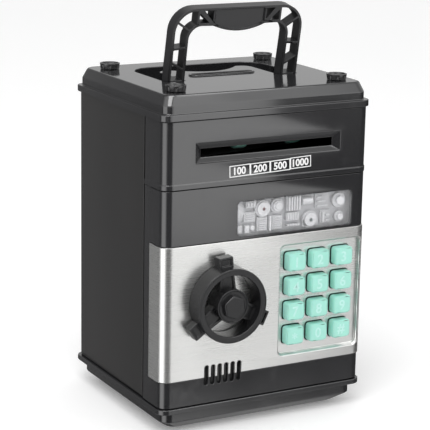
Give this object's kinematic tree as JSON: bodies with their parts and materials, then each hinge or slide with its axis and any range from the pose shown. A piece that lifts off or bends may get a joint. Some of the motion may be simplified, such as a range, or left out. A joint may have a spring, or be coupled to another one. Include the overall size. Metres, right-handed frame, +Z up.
{
  "type": "toy savings bank",
  "caption": "Electronic toy savings bank with a hinged front door, safe dial, keypad, note slot with feed rollers, coin slot and folding carrying handle.",
  "frame": {"origin": "centre of the footprint, on the surface that the feet stand on", "axes": "+Z up, the front with its dial and keypad faces -Y, +X to the right as seen from the front"},
  "size_m": [0.13, 0.1279, 0.2296],
  "materials": {
    "base_pan": "smooth satin black",
    "case_shell": "smooth satin black",
    "top_cap": "smooth satin black",
    "front_fascia": "smooth satin black",
    "door_shell": "smooth satin black",
    "battery_cover": "smooth satin black",
    "door_back_cover": "fine matt black",
    "dial_knob": "fine matt black",
    "dial_bolt": "fine matt black",
    "carrying_handle": "fine matt black",
    "coin_chute": "fine matt black",
    "feeder_frame": "fine matt black",
    "stud_front_left": "fine matt black",
    "stud_front_right": "fine matt black",
    "stud_back_left": "fine matt black",
    "stud_back_right": "fine matt black",
    "silver_plate": "brushed silver paint",
    "key_1": "smooth mint",
    "key_2": "smooth mint",
    "key_3": "smooth mint",
    "key_4": "smooth mint",
    "key_5": "smooth mint",
    "key_6": "smooth mint",
    "key_7": "smooth mint",
    "key_8": "smooth mint",
    "key_9": "smooth mint",
    "key_star": "smooth mint",
    "key_0": "smooth mint",
    "key_hash": "smooth mint",
    "feed_wheel_left": "smooth mint",
    "feed_wheel_right": "smooth mint",
    "feed_gear": "smooth mint",
    "window_lens": "clear and glossy",
    "relief_panel": "silver-grey satin",
    "led_red": "clear red",
    "led_green": "clear green",
    "strike_plate": "bright",
    "latch_cam": "bright",
    "dial_spindle": "bright",
    "solenoid_plunger": "bright",
    "hinge_pin_lower": "bright",
    "hinge_pin_upper": "bright",
    "feed_shaft": "bright",
    "motor": "bright",
    "motor_pinion": "bright",
    "speaker": "bright",
    "battery_contact_left": "bright",
    "battery_contact_right": "bright",
    "battery_cover_screw": "bright",
    "solenoid": "wound wire under tape",
    "battery_cell_1": "printed label",
    "battery_cell_2": "printed label",
    "battery_cell_3": "printed label",
    "main_board": "green lacquer",
    "keypad_board": "green lacquer",
    "key_membrane": "matt",
    "foot_1": "matt",
    "foot_2": "matt",
    "foot_3": "matt",
    "foot_4": "matt"
  },
  "bodies": {
    "case": {"base_pan": "base_pan", "case_shell": "case_shell", "top_cap": "top_cap", "front_fascia": "front_fascia", "battery_cover": "battery_cover", "coin_chute": "coin_chute", "feeder_frame": "feeder_frame", "stud_front_left": "stud_front_left", "stud_front_right": "stud_front_right", "stud_back_left": "stud_back_left", "stud_back_right": "stud_back_right", "strike_plate": "strike_plate", "hinge_pin_lower": "hinge_pin_lower", "hinge_pin_upper": "hinge_pin_upper", "motor": "motor", "battery_contact_left": "battery_contact_left", "battery_contact_right": "battery_contact_right", "battery_cover_screw": "battery_cover_screw", "battery_cell_1": "battery_cell_1", "battery_cell_2": "battery_cell_2", "battery_cell_3": "battery_cell_3", "foot_1": "foot_1", "foot_2": "foot_2", "foot_3": "foot_3", "foot_4": "foot_4"},
    "door": {"door_shell": "door_shell", "door_back_cover": "door_back_cover", "silver_plate": "silver_plate", "window_lens": "window_lens", "relief_panel": "relief_panel", "led_red": "led_red", "led_green": "led_green", "main_board": "main_board", "key_membrane": "key_membrane", "keypad_board": "keypad_board", "speaker": "speaker", "solenoid": "solenoid"},
    "dial": {"dial_knob": "dial_knob", "dial_bolt": "dial_bolt", "dial_spindle": "dial_spindle", "latch_cam": "latch_cam"},
    "plunger": {"solenoid_plunger": "solenoid_plunger"},
    "key_1": {"key_1": "key_1"},
    "key_2": {"key_2": "key_2"},
    "key_3": {"key_3": "key_3"},
    "key_4": {"key_4": "key_4"},
    "key_5": {"key_5": "key_5"},
    "key_6": {"key_6": "key_6"},
    "key_7": {"key_7": "key_7"},
    "key_8": {"key_8": "key_8"},
    "key_9": {"key_9": "key_9"},
    "key_star": {"key_star": "key_star"},
    "key_0": {"key_0": "key_0"},
    "key_hash": {"key_hash": "key_hash"},
    "handle": {"carrying_handle": "carrying_handle"},
    "feed_roller": {"feed_shaft": "feed_shaft", "feed_wheel_left": "feed_wheel_left", "feed_wheel_right": "feed_wheel_right", "feed_gear": "feed_gear"},
    "pinion": {"motor_pinion": "motor_pinion"}
  },
  "joints": [
    {"name": "door_hinge", "type": "hinge", "parent": "case", "child": "door", "pos_m": [0.0607, -0.0346, 0], "axis": [0, 0, 1], "range_deg": [0, 95]},
    {"name": "dial_turn", "type": "hinge", "parent": "door", "child": "dial", "pos_m": [-0.0278, -0.0562, 0.0739], "axis": [0, 1, 0], "range_deg": [0, 90]},
    {"name": "plunger_slide", "type": "slide", "parent": "door", "child": "plunger", "axis": [0, 0, -1], "range_m": [0, 0.0035], "stiffness_N_per_m": 30},
    {"name": "handle_fold", "type": "hinge", "parent": "case", "child": "handle", "pos_m": [0, -0.009, 0.184], "axis": [1, 0, 0], "range_deg": [-101, 0]},
    {"name": "roller_spin", "type": "hinge", "parent": "case", "child": "feed_roller", "pos_m": [0, -0.042, 0.1615], "axis": [1, 0, 0], "continuous": true},
    {"name": "pinion_spin", "type": "hinge", "parent": "case", "child": "pinion", "pos_m": [0, -0.0327, 0.1615], "axis": [1, 0, 0], "continuous": true},
    {"name": "key_1_press", "type": "slide", "parent": "door", "child": "key_1", "axis": [0, 1, 0], "range_m": [0, 0.0011], "stiffness_N_per_m": 400},
    {"name": "key_2_press", "type": "slide", "parent": "door", "child": "key_2", "axis": [0, 1, 0], "range_m": [0, 0.0011], "stiffness_N_per_m": 400},
    {"name": "key_3_press", "type": "slide", "parent": "door", "child": "key_3", "axis": [0, 1, 0], "range_m": [0, 0.0011], "stiffness_N_per_m": 400},
    {"name": "key_4_press", "type": "slide", "parent": "door", "child": "key_4", "axis": [0, 1, 0], "range_m": [0, 0.0011], "stiffness_N_per_m": 400},
    {"name": "key_5_press", "type": "slide", "parent": "door", "child": "key_5", "axis": [0, 1, 0], "range_m": [0, 0.0011], "stiffness_N_per_m": 400},
    {"name": "key_6_press", "type": "slide", "parent": "door", "child": "key_6", "axis": [0, 1, 0], "range_m": [0, 0.0011], "stiffness_N_per_m": 400},
    {"name": "key_7_press", "type": "slide", "parent": "door", "child": "key_7", "axis": [0, 1, 0], "range_m": [0, 0.0011], "stiffness_N_per_m": 400},
    {"name": "key_8_press", "type": "slide", "parent": "door", "child": "key_8", "axis": [0, 1, 0], "range_m": [0, 0.0011], "stiffness_N_per_m": 400},
    {"name": "key_9_press", "type": "slide", "parent": "door", "child": "key_9", "axis": [0, 1, 0], "range_m": [0, 0.0011], "stiffness_N_per_m": 400},
    {"name": "key_star_press", "type": "slide", "parent": "door", "child": "key_star", "axis": [0, 1, 0], "range_m": [0, 0.0011], "stiffness_N_per_m": 400},
    {"name": "key_0_press", "type": "slide", "parent": "door", "child": "key_0", "axis": [0, 1, 0], "range_m": [0, 0.0011], "stiffness_N_per_m": 400},
    {"name": "key_hash_press", "type": "slide", "parent": "door", "child": "key_hash", "axis": [0, 1, 0], "range_m": [0, 0.0011], "stiffness_N_per_m": 400}
  ],
  "couplings": [
    {"joint": "pinion_spin", "follows": "roller_spin", "ratio": -2}
  ]
}
